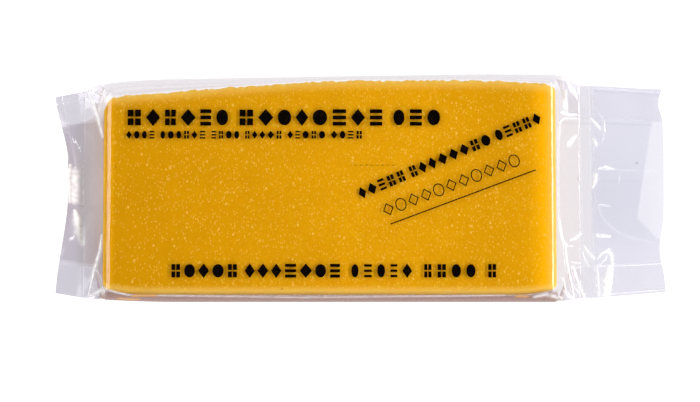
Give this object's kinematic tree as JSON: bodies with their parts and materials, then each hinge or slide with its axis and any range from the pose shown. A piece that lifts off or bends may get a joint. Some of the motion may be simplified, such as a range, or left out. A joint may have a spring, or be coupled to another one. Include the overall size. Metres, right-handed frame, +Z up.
{
  "type": "nougat block",
  "caption": "Flat rectangular block of egg-yolk nougat sealed in a clear film bag with gusseted, welded ends and loose film tails; it lies with its printed face up.",
  "frame": {"origin": "centre of the part's footprint, on the surface that it lies on", "axes": "+X along the block towards the longer film tail, +Y across the block, +Z up out of the printed face"},
  "size_m": [0.2434, 0.0906, 0.0176],
  "materials": {
    "nougat": "dense fine-grained egg-yolk nougat, matt and slightly oily, with pale specks",
    "film": "thin clear glossy polypropylene film with sharp folds and soft creases",
    "ink": "flat black ink printed on the film"
  },
  "bodies": {
    "root": {"sealed_bag": "nougat"}
  },
  "joints": []
}
